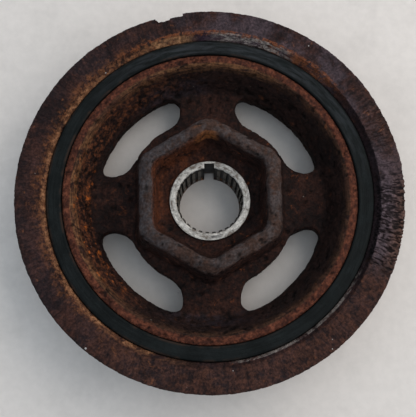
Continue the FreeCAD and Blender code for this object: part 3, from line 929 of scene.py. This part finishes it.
def hubFinish():
    material, tree, shader, place, where = newFinish("hubRust", 0.08)
    radius, height = where["Radius"], where["Height"]
    skin = useGroup(tree, rustSkin, {
        "Vector": place, "Dark": (0.0110, 0.0060, 0.0053), "Brown": (0.0295, 0.0125, 0.0092),
        "Orange": (0.10, 0.030, 0.012), "Bloom": 0.02, "Streaks": 0.0, "Relief": reliefOf(tree)})
    colour, mottle = skin["Color"], skin["Mottle"]
    blotches = noise(tree, place, 170.0, 6.0, 0.74, 0.6)
    high = ramp(tree, height, 24.0, 28.0)
    # the rim's flat top, red-brown, and its rounded edge, ochre where the light falls: rust colour with
    # painted light on the lit side
    top = both(tree, high, ramp(tree, radius, 61.6, 62.4))
    redBrown = tint(tree, ramp(tree, mottle, 0.36, 0.64), (0.038, 0.0112, 0.0070),
                    (0.110, 0.0350, 0.0190))
    colour = stain(tree, colour, top, 0.8, redBrown)
    edge = both(tree, high, between(tree, radius, 59.6, 61.8, 0.6))
    shares = calc(tree, "MAXIMUM", toward(tree, where, 185, 22, 30),
                  both(tree, toward(tree, where, 95, 22, 22), 0.8))
    litUpperLeft = total(tree, 0.22, both(tree, shares, 0.78))
    rimLines = noise(tree, polar(tree, place, 7 * mm, 0.7 * mm, 61 * mm), 1.0, 4.0, 0.6, 0.4)
    ochreLitEdge = both(tree, edge, litUpperLeft, ramp(tree, rimLines, 0.36, 0.56),
                 ramp(tree, blotches, 0.36, 0.54))
    colour = stain(tree, colour, ochreLitEdge, 0.9, (0.150, 0.068, 0.030))
    # bright rust spots on the dished wall
    wall = both(tree, between(tree, radius, 53.5, 59.5, 1.5), ramp(tree, height, 17.0, 19.0))
    spots = noise(tree, place, 230.0, 5.0, 0.7)
    spotted = both(tree, wall, toward(tree, where, 192, 22, 18), ramp(tree, spots, 0.565, 0.65))
    colour = stain(tree, colour, spotted, 0.9, (0.40, 0.100, 0.018))
    # orange-brown on the left of the dished wall: rust colour, partly painted light where the wall faces
    # the light
    warmLitWall = both(tree, wall, toward(tree, where, 165, 45, 35), ramp(tree, mottle, 0.46, 0.60))
    colour = stain(tree, colour, warmLitWall, 0.75, (0.100, 0.033, 0.014))
    # the boss's lip, greyer and speckled, bluish in places
    lip = both(tree, ramp(tree, height, 30.5, 32.5), ramp(tree, radius, 50.0, 44.0))
    greys = tint(tree, ramp(tree, blotches, 0.42, 0.60), (0.043, 0.0235, 0.0175),
                 (0.055, 0.0430, 0.0410))
    blueSide = both(tree, toward(tree, where, 168, 45, 35), ramp(tree, mottle, 0.36, 0.60), 0.65)
    greys = tint(tree, blueSide, greys, (0.036, 0.038, 0.043))
    colour = stain(tree, colour, lip, 0.85, greys)
    # the socket's walls, orange-brown on the left, partly rust and partly painted light where they face
    # the light, with a bright patch in the top corner
    socket = both(tree, ramp(tree, radius, 29.8, 28.4), between(tree, height, 18.9, 33.0, 0.8))
    left = both(tree, socket, toward(tree, where, 155, 42, 30), ramp(tree, blotches, 0.36, 0.58))
    colour = stain(tree, colour, left, 0.75, (0.085, 0.025, 0.0105))
    corner = both(tree, between(tree, radius, 24.0, 31.0, 1.5), toward(tree, where, 93, 6, 8),
                  between(tree, height, 27.0, 33.4, 0.8), ramp(tree, blotches, 0.36, 0.50))
    colour = stain(tree, colour, corner, 0.7, (0.20, 0.070, 0.022))
    # a bluish sheen low in the dish
    sheens = calc(tree, "MAXIMUM", toward(tree, where, 268, 14, 14), toward(tree, where, 106, 10, 14))
    sheen = both(tree, between(tree, radius, 52.5, 56.5, 1.5), sheens,
                 ramp(tree, height, 14.0, 15.0), ramp(tree, blotches, 0.42, 0.60))
    # the side of the dish turned away from the light is painted nearly black: painted shade
    lit = both(tree, toward(tree, where, 178, 38, 40), 0.85)
    dishShade = both(tree, between(tree, radius, 53.0, 59.8, 1.2), calc(tree, "SUBTRACT", 1.0, lit))
    colour = stain(tree, colour, dishShade, 0.55, (0.008, 0.0052, 0.0048))
    colour = stain(tree, colour, sheen, 0.4, (0.026, 0.020, 0.026))
    colour = shade(tree, colour, skin["Grain"])
    dots = dotted(tree, place, 300.0, 0.03, 0.11)
    colour = stain(tree, colour, dots, 0.55, (0.34, 0.30, 0.27))
    complete(tree, shader, colour, skin["Roughness"], skin["Height"], 0.8 * mm)
    return material


def rubberFinish():
    material, tree, shader, place, where = newFinish("oldRubber", 0.07)
    radius = where["Radius"]
    rings = polar(tree, place, 11 * mm, 0.6 * mm, 69 * mm)
    lines = noise(tree, rings, 1.0, 3.0, 0.6)
    patches = noise(tree, place, 110.0, 4.0, 0.6, 0.4)
    grain = noise(tree, place, 1300.0, 3.0, 0.65)
    colour = tint(tree, ramp(tree, patches, 0.35, 0.65), (0.0032, 0.0042, 0.0041),
                  (0.0066, 0.0084, 0.0084))
    colour = shade(tree, colour, both(tree, ramp(tree, lines, 0.3, 0.7, 0.8, 1.3),
                                      ramp(tree, grain, 0.3, 0.7, 0.85, 1.2)))
    # dust and painted sheen on the crown towards the top, rust dust by the borders, and painted shade in
    # the dark gaps beside the iron
    smears = noise(tree, polar(tree, place, 9 * mm, 1.5 * mm, 69 * mm), 1.0, 4.0, 0.6, 0.4)
    dustSheenSide = total(tree, 0.06, both(tree, toward(tree, where, 72, 34, 40), 0.6))
    dustAndSheen = both(tree, dustSheenSide, ramp(tree, smears, 0.36, 0.72), between(tree, radius, 67.0, 71.0, 1.0))
    colour = stain(tree, colour, dustAndSheen, 0.65, (0.046, 0.049, 0.055))
    border = calc(tree, "MAXIMUM", ramp(tree, radius, 70.9, 72.0), ramp(tree, radius, 67.0, 66.0))
    rustDust = both(tree, border, ramp(tree, patches, 0.46, 0.60), toward(tree, where, 180, 80, 50))
    colour = stain(tree, colour, rustDust, 0.5, (0.040, 0.020, 0.012))
    # near black at both borders: painted shade in the gaps between rubber and iron
    gapShade = calc(tree, "MAXIMUM", ramp(tree, radius, 71.9, 72.2), ramp(tree, radius, 65.95, 65.7))
    colour = stain(tree, colour, gapShade, 0.85, (0.002, 0.002, 0.002))
    dots = dotted(tree, place, 300.0, 0.03, 0.09)
    colour = stain(tree, colour, dots, 0.35, (0.25, 0.25, 0.24))
    height = total(tree, both(tree, lines, 0.5), both(tree, grain, 0.5))
    complete(tree, shader, colour, ramp(tree, patches, 0.3, 0.7, 0.5, 0.72), height, 0.25 * mm)
    return material


def steelFinish():
    material, tree, shader, place, where = newFinish("machinedSteel", 0.25)
    radius, height = where["Radius"], where["Height"]
    marks = useGroup(tree, turned, {"Vector": place})
    rings, smears = marks["Rings"], marks["Smears"]
    grain = noise(tree, place, 1400.0, 4.0, 0.7)
    bright = tint(tree, ramp(tree, smears, 0.35, 0.65), (0.22, 0.205, 0.185), (0.54, 0.51, 0.465))
    stained = both(tree, ramp(tree, smears, 0.46, 0.36), 0.75)
    bright = tint(tree, stained, bright, (0.16, 0.12, 0.095))
    low = both(tree, toward(tree, where, 279, 7, 3), between(tree, radius, 16.5, 17.7, 0.3),
               ramp(tree, rings, 0.36, 0.60))
    bright = tint(tree, both(tree, low, 0.85), bright, (0.060, 0.057, 0.060))
    bright = shade(tree, bright, both(tree, ramp(tree, grain, 0.3, 0.7, 0.70, 1.20),
                                      ramp(tree, rings, 0.3, 0.7, 0.80, 1.15)))
    # the bore and keyway are coloured dark, only the crests of the teeth lighter
    inBore = both(tree, ramp(tree, radius, 15.75, 15.45), ramp(tree, height, 19.35, 18.9))
    worn = ramp(tree, radius, 14.75, 14.5)
    dull = tint(tree, both(tree, worn, ramp(tree, grain, 0.30, 0.52)), (0.006, 0.005, 0.0045),
                (0.080, 0.066, 0.050))
    keyway = both(tree, ramp(tree, height, 19.3, 19.1), ramp(tree, radius, 15.3, 15.6))
    hidden = calc(tree, "MAXIMUM", inBore, keyway)
    colour = tint(tree, hidden, bright, dull)
    # the rear face has bloomed with rust
    skin = useGroup(tree, rustSkin, {
        "Vector": place, "Dark": (0.030, 0.018, 0.015), "Brown": (0.085, 0.040, 0.026),
        "Orange": (0.22, 0.075, 0.022), "Bloom": 0.25})
    rear = both(tree, ramp(tree, height, 3.0, 2.0), ramp(tree, smears, 0.62, 0.50))
    colour = stain(tree, colour, rear, 0.8, shade(tree, skin["Color"], skin["Grain"]))
    bare = calc(tree, "SUBTRACT", 1.0, calc(tree, "MAXIMUM", both(tree, hidden, 0.95), rear))
    tree.links.new(both(tree, bare, 0.95), shader.inputs["Metallic"])
    relief = total(tree, both(tree, rings, 0.6), both(tree, grain, 0.5))
    complete(tree, shader, colour, ramp(tree, rings, 0.3, 0.7, 0.38, 0.58), relief, 0.12 * mm)
    return material


for piece, material in ((beltRing, ringFinish()), (rubberRing, rubberFinish()),
                        (hubCasting, hubFinish()), (machinedBore, steelFinish())):
    piece.data.materials.clear()
    piece.data.materials.append(material)
print("finishes ready")


# stage: pale table, two broad lights on the right, a blue-grey sky and a camera above

stage = {
    "tableSize": 3.0, "tableColour": (0.625, 0.58, 0.54),
    "key": 5.8, "keySize": 1.0, "keyPlace": (0.68, 0.17, 0.65), "keyColour": (1.0, 0.91, 0.82),
    "top": 2.6, "topSize": 0.9, "topPlace": (0.50, 0.80, 0.85), "topColour": (1.0, 0.94, 0.88),
    "sky": (0.57, 0.64, 0.715), "skyStrength": 1.17,
}

camera = {
    "place": (-5.35 * mm, -68.70 * mm, front + 320.75 * mm),
    "turn": (10.96, -0.52, -1.2),
    "lens": 64.75,
}


def tableFinish(colour):
    # painted board with faint smudges, a fine mottle and a few specks
    material, tree, shader, place = newFinish("tableTop", 0.3)[:4]
    shader.inputs["Roughness"].default_value = 0.6
    smudges = noise(tree, place, 30.0, 5.0, 0.65, 0.3)
    fine = noise(tree, place, 240.0, 4.0, 0.6)
    darker = tuple(part * 0.94 for part in colour)
    paint = tint(tree, ramp(tree, smudges, 0.55, 0.35), colour, darker)
    paint = shade(tree, paint, ramp(tree, fine, 0.25, 0.75, 0.96, 1.03))
    dots = dotted(tree, place, 60.0, 0.10, 0.05)
    paint = tint(tree, both(tree, dots, 0.45), paint, (0.20, 0.15, 0.12))
    tree.links.new(paint, shader.inputs["Base Color"])
    return material


def buildTable(size):
    bpy.ops.object.select_all(action="DESELECT")
    bpy.ops.mesh.primitive_plane_add(size=size["tableSize"], location=(0, 0, -0.2 * mm))
    table = bpy.context.object
    table.name = "table"
    table.data.materials.append(tableFinish(size["tableColour"]))


def addLight(name, place, power, width, colour):
    data = bpy.data.lights.new(name, "AREA")
    data.energy = power
    data.size = width
    data.color = colour
    light = bpy.data.objects.new(name, data)
    bpy.context.scene.collection.objects.link(light)
    light.location = place
    light.rotation_euler = (-Vector(place)).to_track_quat("-Z", "Y").to_euler()


def buildSky(size):
    world = bpy.data.worlds.new("sky")
    world.use_nodes = True
    background = world.node_tree.nodes["Background"]
    background.inputs["Color"].default_value = (*size["sky"], 1)
    background.inputs["Strength"].default_value = size["skyStrength"]
    bpy.context.scene.world = world


def buildCamera(size):
    data = bpy.data.cameras.new("camera")
    data.lens = size["lens"]
    data.sensor_width = 36
    data.clip_start = 0.01
    eye = bpy.data.objects.new("camera", data)
    bpy.context.scene.collection.objects.link(eye)
    eye.location = size["place"]
    eye.rotation_euler = [math.radians(turn) for turn in size["turn"]]
    bpy.context.scene.camera = eye


buildTable(stage)
addLight("keyLight", stage["keyPlace"], stage["key"], stage["keySize"], stage["keyColour"])
addLight("topLight", stage["topPlace"], stage["top"], stage["topSize"], stage["topColour"])
buildSky(stage)
buildCamera(camera)
bpy.context.scene.view_settings.view_transform = "Standard"
print("stage ready")
